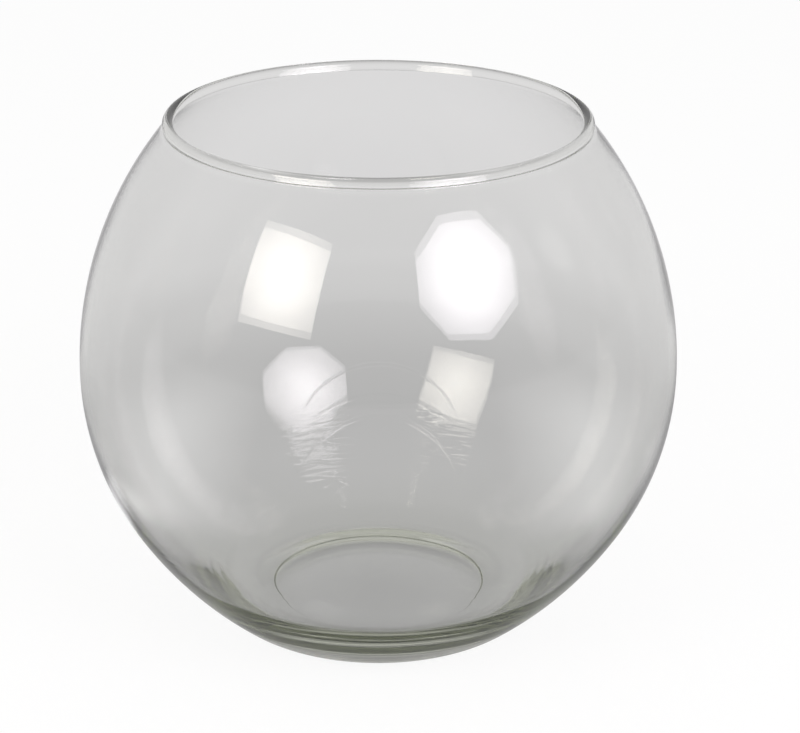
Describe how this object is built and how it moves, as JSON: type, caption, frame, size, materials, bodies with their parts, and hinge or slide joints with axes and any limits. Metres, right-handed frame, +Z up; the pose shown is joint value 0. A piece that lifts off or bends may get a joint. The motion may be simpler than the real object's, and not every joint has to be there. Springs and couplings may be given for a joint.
{
  "type": "rose bowl vase",
  "caption": "Round clear glass rose bowl with a wide open mouth, a polished rim bead and a flattened foot, for flowers, water or candles.",
  "frame": {"origin": "centre of the plane that the foot stands on", "axes": "+Z up along the bowl's axis, through the centre of the mouth; the bowl is round about Z, so X and Y are free"},
  "size_m": [0.2, 0.2, 0.175],
  "materials": {
    "clear_glass": "polished"
  },
  "bodies": {
    "root": {"glass_bowl": "clear_glass"}
  },
  "joints": []
}
